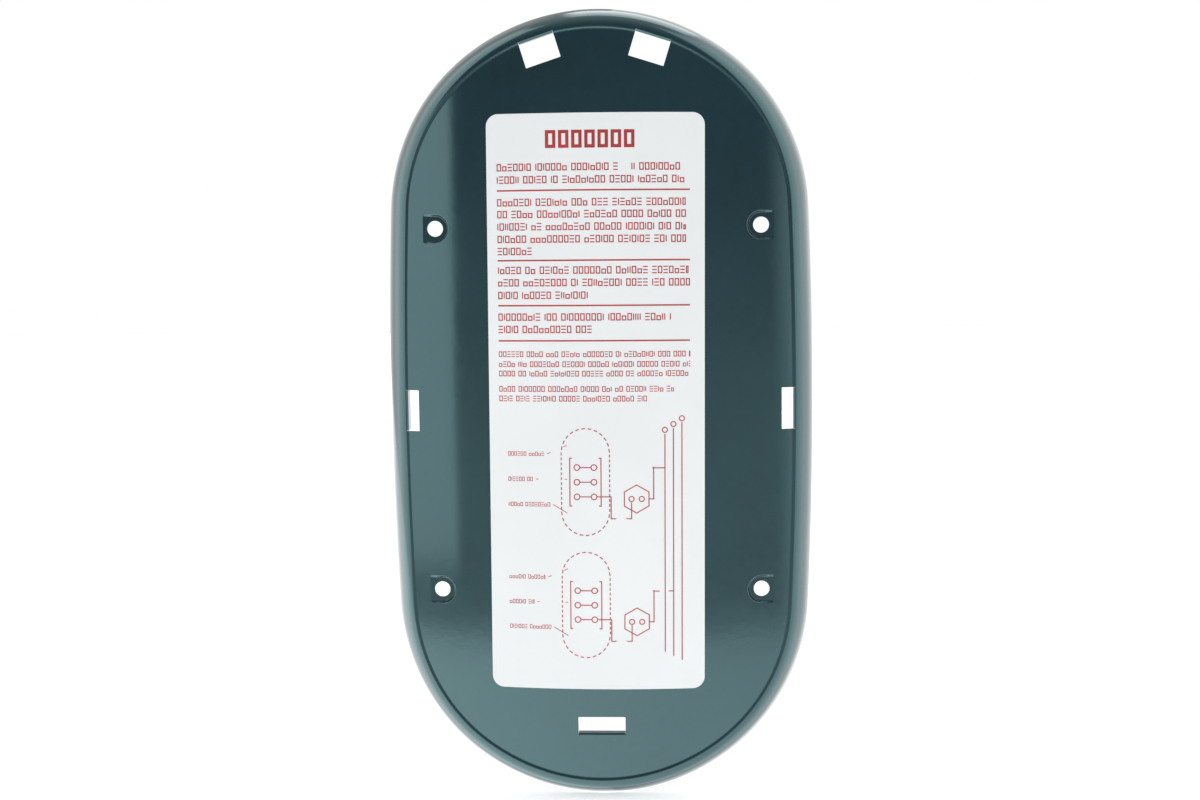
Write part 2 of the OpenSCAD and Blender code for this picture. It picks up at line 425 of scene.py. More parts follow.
def cap(skin, fronts, backs, outs, radius, closed, wear=1.0):
    """A rounded sheared edge from a row of front points to a row of back points."""
    rows = [fronts]
    for half in (0, 1):
        angles = CAP_ANGLES if half == 0 else CAP_ANGLES[::-1]
        for a in angles:
            row = []
            for f, b, out in zip(fronts, backs, outs):
                start, across = skin.points[f], skin.points[b] - skin.points[f]
                step = across.normalized()
                out = Vector(out)
                sunk = radius * (1 - math.cos(a))
                depth = sunk if half == 0 else across.length - sunk
                flat = skin.normals[f] if half == 0 else skin.normals[b]
                normal = flat * math.cos(a) + out.normalized() * math.sin(a)
                spot = start + step * depth + out * radius * math.sin(a)
                row.append(skin.add(spot, normal, wear))
            rows.append(row)
    rows.append(backs)
    for i, (near, far) in enumerate(zip(rows, rows[1:])):
        skin.bridge(near, far, closed, 0 if i < 4 else 1)
    return rows


# ---------------------------------------------------------------- the stamped cover


class Tab:
    """A lanced tab: the place and lean of its root and the size of the slot it leaves."""

    CORNER = 0.3 * MM       # radius of the slot's lower corners
    HOOK_TURN = 0.75 * MM   # middle radius of a hook's second bend

    def __init__(self, root_x, root_z, lean, width, slot_l, rise, hooked):
        self.root, self.rise, self.hooked = Vector((root_x, root_z)), rise, hooked
        self.width, self.length = width, slot_l
        self.across = Vector((math.cos(lean), -math.sin(lean)))
        self.out = Vector((math.sin(lean), math.cos(lean)))

    def place(self, a, b):
        """From the root's own directions, along it and outward, to the cover's X and Z."""
        at = self.root + self.across * a + self.out * b
        return at.x, at.y

    def local(self, x, z):
        """From the cover's X and Z to the root's own directions."""
        step = Vector((x, z)) - self.root
        return step.dot(self.across), step.dot(self.out)

    def loop(self, s):
        """The edge of the front skin around the slot, up to where the tab's bend starts."""
        corner = self.CORNER
        w, low = self.width / 2 + s.edge_r, -self.length - s.edge_r
        strip = self.width / 2 - s.shear_gap
        points = [(w, s.bend_r), (strip, s.bend_r), (-strip, s.bend_r), (-w, s.bend_r)]
        for side, first in ((-1, math.pi), (1, 1.5 * math.pi)):
            for i in range(5):
                a = first + i * math.pi / 8
                points.append((side * (w - corner) + corner * math.cos(a),
                               low + corner + corner * math.sin(a)))
        return [self.place(*p) for p in points]

    def path(self, s):
        """Middle line of the tab from its bend on: outward place, depth, and normal."""
        t, r = s.sheet_t, s.bend_r
        rows = []
        for i in range(1, 7):
            a = math.radians(15 * i)
            rows.append((r - (r - t / 2) * math.sin(a), r - (r - t / 2) * math.cos(a) - self.rise,
                         (-math.sin(a), -math.cos(a))))
        if not self.hooked:
            rows.append((t / 2, self.length + t, (-1.0, 0.0)))
            return rows
        turn = self.HOOK_TURN
        start = s.hook_step + t / 2 - turn
        for i in range(7):
            a = math.radians(15 * i)
            rows.append((t / 2 + turn * (1 - math.cos(a)), start + turn * math.sin(a),
                         (-math.cos(a), math.sin(a))))
        rows.append((s.hook_l, s.hook_step + t / 2, (0.0, 1.0)))
        return rows


def tabs(s, outline):
    """The five tabs in their places."""
    crease = s.rim_w - s.root_past_crease
    middle_r = outline.end_r - crease - s.top_tab_l / 2
    middle_z = outline.end_z + math.sqrt(middle_r ** 2 - s.top_tab_x ** 2)
    half = s.top_tab_l / 2
    x = s.top_tab_x + half * math.sin(s.top_tab_lean)
    z = middle_z + half * math.cos(s.top_tab_lean)
    side_x, low = HALF_W - crease, s.bottom_tab_up - HALF_H
    found = []
    for side in (-1, 1):
        found.append(Tab(side * x, z, side * s.top_tab_lean, s.top_tab_w, s.top_tab_l,
                         s.rim_rise, True))
        found.append(Tab(side * side_x, 0, side * math.pi / 2, s.side_tab_w, s.side_tab_l,
                         s.rim_rise, False))
    found.append(Tab(0, low, math.pi, s.bottom_tab_w, s.bottom_tab_l, 0.0, True))
    return found


def circle(x, z, r, steps):
    """Points of a circle."""
    turn = 2 * math.pi / steps
    return [(x + r * math.cos(turn * i), z + r * math.sin(turn * i)) for i in range(steps)]


def seat_lines(s):
    """U-shaped lines that follow the drawn walls of the four screw seats."""
    lines = []
    levels = [s.seat_r + k * s.seat_wall / 8 for k in range(-5, 10)]
    runs = [s.seat_run + k * MM for k in (1.2, 0.5, 0.2, 0.08, 0, -0.08, -0.3, -1.2, -2.6)]
    span = levels[0] - 0.1 * MM
    for sx, sz in CORNERS:
        for r in levels:
            bow = [(-r * math.sin(math.pi * i / 20), r * math.cos(math.pi * i / 20))
                   for i in range(21)]
            tail = [(run, r) for run in runs]
            u = tail + bow + [(px, -pz) for px, pz in reversed(tail)]
            lines.append([(sx * (HOLE_X + px), sz * (HOLE_Z + pz)) for px, pz in u])
        for run in (r for r in runs if r > 0.7 * s.seat_run):
            lines.append([(sx * (HOLE_X + run), sz * (HOLE_Z + span * k / 4))
                          for k in range(-4, 5)])
    return lines


def lattice(s, shape, slots):
    """Regular points inside the face, clear of everything with lines of its own."""
    points = []
    across, up = math.floor(HALF_W / s.grid), math.floor(HALF_H / s.grid)
    clear = s.seat_r + 1.6 * s.seat_wall + 0.4 * MM
    for i in range(-across, across + 1):
        for k in range(-up, up + 1):
            x, z = i * s.grid, k * s.grid
            px, pz = abs(x) - HOLE_X, abs(z) - HOLE_Z
            if shape.outline.frame(x, z)[0] < s.rim_w + 2 * MM:
                continue
            in_run = 0 < px < s.seat_run + 2 * MM and abs(pz) < clear
            if in_run or math.hypot(px, pz) < clear:
                continue
            near = [tab.local(x, z) for tab in slots]
            if any(abs(a) < t.width / 2 + MM and -t.length - MM < b < 2 * MM
                   for t, (a, b) in zip(slots, near)):
                continue
            points.append((x, z))
    return points


def roll_rows(skin, shape, flat, loop, fronts, backs, join):
    """The rolled rim, from the ring where the face's mesh ends round its hem and back."""
    s = shape.s
    e = s.edge_r
    start = shape.roll_at(join)
    steps = 16
    hem_u = 0.5 * e / s.rim_depth
    params = [start + (hem_u - start) * i / steps for i in range(1, steps + 1)]
    places = [shape.outline.frame(*flat[i]) for i in loop]

    def row(u, depth, sign):
        inward, rise, along = shape.roll(u)
        level = (inward + depth * along.y, rise - depth * along.x)
        result = []
        for index, (inset, out) in zip(loop, places):
            move = inset - level[0]
            x, z = flat[index][0] + out[0] * move, flat[index][1] + out[1] * move
            slope = (shape.face_y(x + MM) - shape.face_y(x - MM)) / (2 * MM)
            normal = Vector((out[0] * along.y + slope * along.x, -along.x,
                             out[1] * along.y))
            result.append(skin.add((x, shape.face_y(x) - level[1], z), sign * normal))
        return result

    near = fronts
    for u in params:
        far = row(u, 0.0, 1)
        skin.bridge(near, far, True, 0)
        near = far
    inner = [row(u, s.sheet_t, -1) for u in params]
    along = shape.roll(hem_u)[2]
    outs = [(along.x * out[0], along.y, along.x * out[1]) for _, out in places]
    cap(skin, near, inner[-1], outs, e, True)
    for far, closer in zip(inner[::-1], inner[-2::-1] + [backs]):
        skin.bridge(far, closer, True, 1)


def tab_rows(skin, s, tab, flat, loop, front_of, back_of):
    """One tab with its rounded edges, and the sheared edge around the rest of its slot."""
    strip = tab.width / 2 - s.shear_gap
    spots = [tab.local(*flat[i]) for i in loop]
    on_root = [abs(b - s.bend_r) < 0.01 * MM and abs(a) < strip + 0.01 * MM for a, b in spots]
    first = next(i for i in range(len(loop)) if on_root[i] and not on_root[i - 1])
    order = [loop[(first + i) % len(loop)] for i in range(len(loop))]
    count = sum(on_root)
    root, free = order[:count], order[count - 1:] + order[:1]

    fronts, backs = [front_of[i] for i in free], [back_of[i] for i in free]
    outs = [(dx, 0.0, dz) for dx, dz in openings(flat, free, False)]
    rows = cap(skin, fronts, backs, outs, s.edge_r, False)
    skin.face([row[-1] for row in rows], 0)
    skin.face([row[0] for row in rows][::-1], 0)

    front_rows, back_rows = [[front_of[i] for i in root]], [[back_of[i] for i in root]]
    for b, depth, (nb, nd) in tab.path(s):
        for leaf, side in ((front_rows, -1), (back_rows, 1)):
            row = []
            for i in root:
                a = tab.local(*flat[i])[0]
                shift = -0.5 * s.sheet_t * side
                x, z = tab.place(a, b + nb * shift)
                lift = skin.points[front_of[i]].y + tab.rise
                normal = Vector((tab.out.x * nb, nd, tab.out.y * nb)) * -side
                row.append(skin.add((x, lift + depth + nd * shift, z), normal))
            leaf.append(row)
    for near, far in zip(front_rows, front_rows[1:]):
        skin.bridge(near, far, False, 0)
    skin.bridge(front_rows[-1], back_rows[-1], False, 0)
    for far, near in zip(back_rows[:0:-1], back_rows[-2::-1]):
        skin.bridge(far, near, False, 1)
    for k in range(len(front_rows) - 1):
        f, g, b, c = front_rows[k], front_rows[k + 1], back_rows[k], back_rows[k + 1]
        skin.face([g[0], f[0], b[0], c[0]], 0)
        skin.face([f[-1], g[-1], c[-1], b[-1]], 0)


def hole_circles(r, steps):
    """A circle of one radius round each of the four screw holes."""
    return [circle(sx * HOLE_X, sz * HOLE_Z, r, steps) for sx, sz in CORNERS]


def cover_skin(s):
    """The whole sheet: bent face, seats, holes and slots first, then rim and tabs."""
    shape = Stamping(s)
    slots = tabs(s, shape.outline)
    join = 5.0 * MM  # from the outer edge in to the ring where the rolled rows take over
    levels = [join, 5.5 * MM, 6.0 * MM, 6.4 * MM, shape.crest]
    levels += [shape.crest + s.slope_w * k / 10 for k in range(1, 11)]
    levels += [s.rim_w + 0.4 * MM, s.rim_w + 1.1 * MM]
    rings = [shape.outline.ring(level, 2.0 * MM) for level in levels]
    slot_loops = [tab.loop(s) for tab in slots]
    hole_loops = hole_circles(HOLE_R + s.edge_r, 48)
    washers = hole_circles(HOLE_R + 0.6 * MM, 32)
    flat, triangles = triangulate(rings + slot_loops + hole_loops + washers,
                                  seat_lines(s), lattice(s, shape, slots))

    def kept(t):
        """True for a triangle that is in none of the openings and not in the rolled rim."""
        x, z = (sum(flat[i][k] for i in t) / 3 for k in (0, 1))
        if shape.outline.frame(x, z)[0] < join:
            return False
        if math.hypot(abs(x) - HOLE_X, abs(z) - HOLE_Z) < HOLE_R + s.edge_r:
            return False
        return not any(inside(loop, x, z) for loop in slot_loops)

    triangles = [tuple(t) for t in triangles if kept(t)]
    used = sorted({i for t in triangles for i in t})
    skin = Skin()
    front_of = {i: skin.add((flat[i][0], shape.front(*flat[i]), flat[i][1]),
                            tilt(shape.front, *flat[i], -1)) for i in used}
    back_of = {i: skin.add((flat[i][0], shape.back(*flat[i]), flat[i][1]),
                           tilt(shape.back, *flat[i], 1)) for i in used}
    for t in triangles:
        skin.face([front_of[i] for i in t], 0)
        skin.face([back_of[i] for i in reversed(t)], 1)
    for loop in boundaries(triangles):
        x, z = flat[loop[0]]
        fronts, backs = [front_of[i] for i in loop], [back_of[i] for i in loop]
        if shape.outline.frame(x, z)[0] < join + 0.1 * MM:
            roll_rows(skin, shape, flat, loop, fronts, backs, join)
            continue
        if math.hypot(abs(x) - HOLE_X, abs(z) - HOLE_Z) < HOLE_R + MM:
            outs = [(dx, 0.0, dz) for dx, dz in openings(flat, loop, True)]
            cap(skin, fronts, backs, outs, s.edge_r, True)
            continue
        tab = min(slots, key=lambda t: (Vector((x, z)) - t.root).length)
        tab_rows(skin, s, tab, flat, loop, front_of, back_of)
    return skin


# ---------------------------------------------------------------- the label and its print


def label_skin(s, shape):
    """The label: a thin rounded sheet that follows the bend of the face."""
    edge = 0.04 * MM  # rounding of the film's cut edge
    w, h = s.width / 2 - edge, s.height / 2 - edge
    loop = []
    for cx, cz, first in ((1, 1, 0), (-1, 1, 90), (-1, -1, 180), (1, -1, 270)):
        for i in range(9):
            a = math.radians(first + 90 * i / 8)
            loop.append((cx * (w - s.corner) + s.corner * math.cos(a),
                         cz * (h - s.corner) + s.corner * math.sin(a)))
        here, back = loop[-1], (-loop[-1][0], loop[-1][1])
        if cx == cz:
            loop += [(here[0] + (back[0] - here[0]) * i / 24, here[1]) for i in range(1, 24)]
    step = 4 * MM
    spots = [(i * step, k * step) for i in range(-9, 10) for k in range(-25, 26)
             if abs(i * step) < w - MM and abs(k * step) < h - MM]
    flat, triangles = triangulate([loop], [], spots)
    triangles = [tuple(t) for t in triangles]
    skin = Skin()
    fronts, backs = {}, {}
    for i, (a, b) in enumerate(flat):
        point, normal = on_label(s, shape, a, b, s.thickness)
        fronts[i] = skin.add(point, normal)
        backs[i] = skin.add(on_label(s, shape, a, b, 0.0)[0], -normal)
    for t in triangles:
        skin.face([fronts[i] for i in t])
        skin.face([backs[i] for i in reversed(t)])
    for loop in boundaries(triangles):
        outs = [(dx, 0.0, dz) for dx, dz in openings(flat, loop, True)]
        cap(skin, [fronts[i] for i in loop], [backs[i] for i in loop], outs, edge, True, 0.0)
    skin.kinds = [0] * len(skin.kinds)  # the film is one material, front and back
    return skin


def on_label(s, shape, a, b, height):
    """The place of a point of the label, measured along the bend and up from its middle."""
    x = a * math.cos(s.turn) - b * math.sin(s.turn)
    z = a * math.sin(s.turn) + b * math.cos(s.turn) + s.up
    round_a = (x - s.left) / shape.s.face_r
    normal = Vector((math.sin(round_a), -math.cos(round_a), 0.0))
    r = shape.s.face_r + height
    return Vector((r * normal.x, shape.axis_y + r * normal.y, z)), normal


class Press:
    """Prints thin raised strokes of ink on the label, in millimetres from its middle."""

    def __init__(self, s, shape):
        self.s, self.shape, self.skin = s, shape, Skin()
        self.draw = random.Random(s.seed)
        self.line = s.line_w / MM

    def spot(self, a, b, height):
        """A point of the label's front, raised by a height, and the normal there."""
        return on_label(self.s, self.shape, a * MM, b * MM, self.s.thickness + height)

    def stroke(self, path, width, closed=False):
        """One line of ink of a fixed width along a path."""
        count = len(path)
        left, right, low_left, low_right = [], [], [], []
        for i, (a, b) in enumerate(path):
            before = path[i - 1] if i > 0 or closed else path[i]
            after = path[(i + 1) % count] if i < count - 1 or closed else path[i]
            d0 = Vector((a - before[0], b - before[1]))
            d1 = Vector((after[0] - a, after[1] - b))
            d0 = d0.normalized() if d0.length > 1e-6 else d1.normalized()
            d1 = d1.normalized() if d1.length > 1e-6 else d0
            side = Vector((-(d0 + d1).y, (d0 + d1).x))
            side *= width / max(1.0, side.length_squared)
            for row, low, sign in ((left, low_left, 1), (right, low_right, -1)):
                at = (a + sign * side.x, b + sign * side.y)
                point, normal = self.spot(*at, self.s.ink_t)
                row.append(self.skin.add(point, normal))
                low.append(self.skin.add(self.spot(*at, 0.0)[0], normal))
        skin = self.skin
        skin.bridge(left, right, closed)
        skin.bridge(low_left, left, closed)
        skin.bridge(right, low_right, closed)
        skin.bridge(low_right, low_left, closed)
        if not closed:
            skin.face([left[0], low_left[0], low_right[0], right[0]])
            skin.face([right[-1], low_right[-1], low_left[-1], left[-1]])

    def rule(self, a0, a1, b, width):
        """A level line, in steps that follow the bend."""
        steps = max(1, round((a1 - a0) / 4))
        self.stroke([(a0 + (a1 - a0) * i / steps, b) for i in range(steps + 1)], width)

    def words(self, a0, a1, b, height):
        """A line of blind text: plain boxes, ticks and dashes in groups as long as words."""
        line, wide = 0.155 * height, 0.46 * height
        a = a0 + line / 2
        left = self.draw.randint(2, 9)
        while a < a1 - line:
            kind = self.draw.choice(("box", "box", "box", "low box", "tick", "dashes"))
            right = min(a + wide, a1 - line / 2)
            foot, head = b - (height - line) / 2, b + (height - line) / 2
            if kind == "tick":
                right = a
                self.stroke([(a, foot), (a, head)], line)
            elif kind == "dashes":
                for level in (foot, b, head):
                    self.stroke([(a - line / 2, level), (right + line / 2, level)], line)
            else:
                top = head if kind == "box" else foot + 0.62 * (head - foot)
                self.stroke([(a, foot), (a, top), (right, top), (right, foot)], line, True)
            a = right + line + 0.14 * height
            left -= 1
            if left == 0:
                a += 0.45 * height
                left = self.draw.randint(2, 9)

    def ring(self, a, b, r, steps=20, start=0.0):
        """A circle, or a polygon when it has few steps."""
        path = [(a + r * math.cos(start + 2 * math.pi * i / steps),
                 b + r * math.sin(start + 2 * math.pi * i / steps)) for i in range(steps)]
        self.stroke(path, self.line, True)

    def capsule(self, a, b, half_w, half_h):
        """A tall dashed outline with round ends."""
        path = []
        for side, first in ((1, 0), (-1, 180)):
            for i in range(13):
                t = math.radians(first + 15 * i)
                path.append((a + half_w * math.cos(t),
                             b + side * (half_h - half_w) + half_w * math.sin(t)))
        for p, q in zip(path, path[1:] + path[:1]):
            span = math.hypot(q[0] - p[0], q[1] - p[1])
            count = max(1, round(span / 1.7))
            for i in range(count):
                u, v = i / count, (i + 0.6) / count
                self.stroke([(p[0] + (q[0] - p[0]) * k, p[1] + (q[1] - p[1]) * k)
                             for k in (u, v)], self.line)

    def box(self, a0, b0, a1, b1, width):
        """An upright rectangle, given by two opposite corners."""
        self.stroke([(a0, b0), (a0, b1), (a1, b1), (a1, b0)], width, True)


# Text on the label, in millimetres from its middle. Each line has the height of its
# middle, the height of its capitals and the stretches that hold words.
BODY_CAPS = 2.6
NOTE_CAPS = 2.0
TEXT_L, TEXT_R = -34.4, 32.9
TEXT_LINES = [
    (83.0, BODY_CAPS, [(TEXT_L, 8.5), (12.6, 31.2)]), (78.7, BODY_CAPS, [(TEXT_L, TEXT_R)]),
    (70.9, BODY_CAPS, [(TEXT_L, 31.4)]), (66.8, BODY_CAPS, [(TEXT_L, 31.5)]),
    (62.5, BODY_CAPS, [(TEXT_L, 31.5)]), (58.2, BODY_CAPS, [(TEXT_L, 31.5)]),
    (54.0, BODY_CAPS, [(TEXT_L, -22.0)]), (47.4, BODY_CAPS, [(TEXT_L, 32.4)]),
    (43.1, BODY_CAPS, [(TEXT_L, TEXT_R)]), (38.7, BODY_CAPS, [(TEXT_L, -2.2)]),
    (31.1, BODY_CAPS, [(TEXT_L, 26.9)]), (26.8, BODY_CAPS, [(TEXT_L, -0.9)]),
    (18.1, NOTE_CAPS, [(TEXT_L, 33.0)]), (14.6, NOTE_CAPS, [(TEXT_L, 33.0)]),
    (11.3, NOTE_CAPS, [(TEXT_L, 33.0)]), (5.9, NOTE_CAPS, [(TEXT_L, 27.2)]),
    (2.5, NOTE_CAPS, [(TEXT_L, 18.4)]),
]
RULES = (75.0, 50.8, 35.1, 22.8)
RULE_W = 0.55
HEADING_L, HEADING_B, HEADING_PITCH, HEADING_STROKE = -15.4, 92.5, 4.55, 1.15


def print_text(press):
    """The heading and the ruled paragraphs, as blind text."""
    for k in range(7):
        a, half_w, half_h = HEADING_L + HEADING_PITCH * k, 1.25, 2.5
        press.box(a - half_w, HEADING_B - half_h, a + half_w, HEADING_B + half_h,
                  HEADING_STROKE)
    for b, caps, stretches in TEXT_LINES:
        for a0, a1 in stretches:
            press.words(a0, a1, b, caps)
    for b in RULES:
        press.rule(TEXT_L, TEXT_R, b, RULE_W)


def print_diagram(press):
    """A plain line drawing of two vessels, their terminals and the lines between them."""
    line = press.line
    for b in (-27.0, -71.0):
        press.capsule(-4.0, b, 8.5, 19.0)
        press.box(-9.5, b - 8.5, 1.5, b + 8.5, line)
        for k in (-1, 0, 1):
            press.ring(-7.0, b + 5.2 * k, 1.0)
            press.ring(-1.0, b + 5.2 * k, 1.0)
            press.stroke([(-6.0, b + 5.2 * k), (-2.0, b + 5.2 * k)], line)
        press.ring(14.0, b - 6.0, 5.0, 6, start=math.pi / 6)
        press.ring(12.2, b - 6.0, 0.9)
        press.ring(15.8, b - 6.0, 0.9)
        press.stroke([(0.0, b + 5.2), (20.0, b + 5.2), (20.0, b - 6.0), (18.4, b - 6.0)], line)
        press.stroke([(0.0, b - 5.2), (5.0, b - 5.2), (5.0, b - 13.0), (12.2, b - 13.0),
                      (12.2, b - 7.2)], line)
        for k, reach in enumerate((13.0, 9.0, 15.0)):
            level = b + 10.0 - 9.0 * k
            press.words(-31.5, -31.5 + reach, level, 1.5)
            press.stroke([(-30.5 + reach, level), (-10.5, level - 3.0 * (k - 1))], line * 0.7)
    for k in range(3):
        a = 24.0 + 3.0 * k
        press.stroke([(a, -10.0 + 2.0 * k), (a, -88.0 - 1.5 * k)], line)
        press.ring(a, -8.6 + 2.0 * k, 0.9)
    press.stroke([(20.0, -22.0), (24.0, -22.0)], line)
    press.stroke([(20.0, -66.0), (27.0, -66.0)], line)


# ---------------------------------------------------------------- materials


class Value:
    """A socket on which + - * and the like add Math nodes."""

    def __init__(self, nodes, socket):
        self.nodes, self.socket = nodes, socket

    def maths(self, operation, *operands):
        """Adds a Math node with these operands."""
        return self.nodes.add("ShaderNodeMath", {"operation": operation},
                              dict(enumerate(operands)))

    def __add__(self, other):
        return self.maths("ADD", self, other)

    __radd__ = __add__

    def __mul__(self, other):
        return self.maths("MULTIPLY", self, other)

    __rmul__ = __mul__

    def __sub__(self, other):
        return self.maths("SUBTRACT", self, other)

    def __rsub__(self, other):
        return self.maths("SUBTRACT", other, self)

    def __neg__(self):
        return self * -1.0

    def between(self, low, high):
        """0 below low and 1 above high, with a smooth step from one to the other."""
        return self.nodes.add("ShaderNodeMapRange", {"interpolation_type": "SMOOTHSTEP"},
                              {"Value": self, "From Min": low, "From Max": high})


class Nodes:
    """The node tree of a material or of the world."""

    def __init__(self, tree):
        self.tree = tree
        tree.nodes.clear()

    def add(self, kind, settings=None, inputs=None, output=0):
        """Adds a node: its settings first, then the values or links of its sockets."""
        node = self.tree.nodes.new(kind)
        for key, value in (settings or {}).items():
            setattr(node, key, value)
        for key, value in (inputs or {}).items():
            if isinstance(value, Value):
                self.tree.links.new(value.socket, node.inputs[key])
            else:
                node.inputs[key].default_value = value
        if not node.outputs:
            return None
        return Value(self, node.outputs[output])

    def mix(self, share, low, high):
        """A colour between two colours."""
        return self.add("ShaderNodeMix", {"data_type": "RGBA"},
                        {"Factor": share, "A": low, "B": high}, output="Result")

    def place(self):
        """The place on the object, in metres."""
        return self.add("ShaderNodeTexCoord", output="Object")

    def noise(self, where, scale, detail=3.0, roughness=0.5):
        """Smooth noise, with a scale in cycles per metre."""
        return self.add("ShaderNodeTexNoise", None,
                        {"Vector": where, "Scale": scale, "Detail": detail,
                         "Roughness": roughness})

    def bump(self, height, strength, distance, **under):
        """Small bumps, over the bumps of another node if Normal is given."""
        return self.add("ShaderNodeBump", None, {"Strength": strength, "Distance": distance,
                                                 "Height": height, **under})

    def surface(self, inputs):
        """The material's shader, with these values on its sockets."""
        shader = self.add("ShaderNodeBsdfPrincipled", None, inputs)
        self.add("ShaderNodeOutputMaterial", None, {"Surface": shader})


def rgba(rgb, gain=1.0):
    """A colour with its alpha, made lighter or darker by a gain."""
    return (*[min(1.0, c * gain) for c in rgb], 1.0)


def new_material(name):
    """An empty material and its nodes."""
    material = bpy.data.materials.new(name)
    material.use_nodes = True
    return material, Nodes(material.node_tree)


def paint_material(name, s, roughness):
    """Gloss paint over steel: slow colour drift, faint orange peel, thin worn edges."""
    material, n = new_material(name)
    where = n.place()
    drift = n.noise(where, 22.0, 2.0)
    mottle = n.noise(where, 260.0, 3.0, 0.6)
    specks = n.noise(where, 1500.0, 2.0, 0.6).between(0.70, 0.80)
    worn = n.add("ShaderNodeAttribute", {"attribute_name": "wear"}, output="Fac")
    broken = worn * n.noise(where, 420.0, 4.0, 0.65).between(0.50, 0.66)
    body = n.mix(drift.between(0.35, 0.65), rgba(s.paint, 0.90), rgba(s.paint, 1.12))
    body = n.mix(mottle.between(0.3, 0.7) * 0.35, body, rgba(s.paint, 1.25))
    body = n.mix(specks * 0.12, body, rgba(s.worn, 1.6))
    body = n.mix(broken * 0.55, body, rgba(s.worn))
    peel = n.noise(where, 520.0, 1.0) * 0.6 + n.noise(where, 1600.0, 2.0) * 0.25
    waves = n.noise(where, 17.0, 0.0)
    bump = n.bump(peel, 0.06, 0.12 * MM, Normal=n.bump(waves, 1.0, 0.16 * MM))
    shine = roughness + (mottle - 0.5) * 0.04 + (drift - 0.5) * 0.03 + broken * 0.2
    n.surface({"Base Color": body, "Roughness": shine, "Normal": bump, "IOR": 1.5,
               "Specular Tint": rgba(s.tint)})
    return material


def label_material(s):
    """Satin white film with a faint grain and a slow drift to a slightly darker tone."""
    material, n = new_material("label film")
    where = n.place()
    drift = n.noise(where, 18.0, 2.0)
    grain = n.noise(where, 2400.0, 2.0, 0.7)
    body = n.mix(drift.between(0.3, 0.7), rgba(s.stock_colour), rgba(s.stock_colour, 0.965))
    body = n.mix(grain.between(0.62, 0.8) * 0.10, body, (0.70, 0.72, 0.72, 1.0))
    bump = n.bump(grain, 0.12, 0.04 * MM)
    shine = 0.46 + (drift - 0.5) * 0.08 + (grain - 0.5) * 0.10
    n.surface({"Base Color": body, "Roughness": shine, "Normal": bump, "IOR": 1.46})
    return material


def ink_material(s):
    """Dark red screen print, a little uneven, with pinholes."""
    material, n = new_material("label ink")
    where = n.place()
    patch = n.noise(where, 90.0, 3.0)
    holes = n.noise(where, 3200.0, 2.0, 0.7).between(0.66, 0.76)
    body = n.mix(patch.between(0.3, 0.7), rgba(s.ink_colour, 0.9), rgba(s.ink_colour, 1.15))
    body = n.mix(holes * 0.30, body, (0.78, 0.62, 0.60, 1.0))
    n.surface({"Base Color": body, "Roughness": 0.38 + patch * 0.12})
    return material


def floor_material(s):
    """Pale matt floor with a trace of texture."""
    material, n = new_material("pale floor")
    where = n.place()
    cloud = n.noise(where, 3.0, 2.0)
    body = n.mix(cloud.between(0.3, 0.7), rgba(s.floor_colour), rgba(s.floor_colour, 0.985))
    n.surface({"Base Color": body, "Roughness": 0.8,
               "Emission Color": (1.0, 1.0, 1.0, 1.0), "Emission Strength": s.floor_glow})
    return material


def soft_box(n, across, up, box, blur):
    """A soft-edged bright patch of the studio, in degrees across and up."""
    low_a, high_a, low_u, high_u = box
    sides = across.between(low_a - blur, low_a + blur) * (
        1.0 - across.between(high_a - blur, high_a + blur))
    ends = up.between(low_u - blur, low_u + blur) * (
        1.0 - up.between(high_u - blur, high_u + blur))
    return sides * ends


EVEN = 0.68      # brightness of the room for matt surfaces
BACKDROP = 1.0   # brightness of the room behind the object


def light_world():
    """Even soft light for the room, and soft boxes and a pale table for the gloss.

    Directions are in degrees from straight in front of the cover: across to its right, up,
    and for the box overhead, over the top and to the side.
    """
    world = bpy.data.worlds.new("soft studio")
    world.use_nodes = True
    world.cycles.sampling_method = "NONE"
    n = Nodes(world.node_tree)
    where = n.add("ShaderNodeTexCoord", output="Generated")
    split = n.tree.nodes.new("ShaderNodeSeparateXYZ")
    n.tree.links.new(where.socket, split.inputs[0])
    x, y, z = (Value(n, socket) for socket in split.outputs)
    degrees = 180 / math.pi
    across = x.maths("ARCTAN2", x, -y) * degrees
    up = z.maths("ARCSINE", z) * degrees
    over = z.maths("ARCTAN2", z, -y) * degrees
    side = x.maths("ARCTAN2", x, z) * degrees
    turned = across.maths("ABSOLUTE", across)
    # The panels at the sides grow brighter beside the cover and fade out behind it.
    fade = 1.0 + turned.between(40, 65) * 0.2 - turned.between(90, 135) * 0.85 \
        - turned.between(150, 172) * 0.15
    left = soft_box(n, across, up, (-178, -31.5, -11.6, 9.5), 0.7) * fade * 3.8
    left_high = soft_box(n, across, up, (-181, -44, -90, 66), 4.0) * fade * 3.6
    right = across.between(29, 41) * (1.0 - up.between(52, 74)) * (
        fade + across.between(100, 135) * 0.3) * 3.5
    # The table's far edge bows down a little towards the sides.
    table = (1.0 - (up - across * across * 0.0005).between(-14.9, -14.3)) * (
        4.3 - across * 0.02) * (1.0 - turned.between(80, 140) * 0.65)
    top = soft_box(n, side, over, (-11, 28, 96, 137), 4.0) * 4.4
    base = 0.2 + (8.0 - up).between(0, 18) * 1.02 + up.between(10, 88) * 1.4
    bright = base
    for patch in (left, left_high, right, table, top):
        bright = bright.maths("MAXIMUM", bright, patch)
    gloss_ray = n.add("ShaderNodeLightPath", output="Is Glossy Ray")
    seen_ray = n.add("ShaderNodeLightPath", output="Is Camera Ray")
    strength = EVEN + (bright - EVEN) * gloss_ray + (BACKDROP - EVEN) * seen_ray
    shader = n.add("ShaderNodeBackground", None,
                   {"Color": (1.0, 1.0, 1.0, 1.0), "Strength": strength})
    n.add("ShaderNodeOutputWorld", None, {"Surface": shader})
    bpy.context.scene.world = world


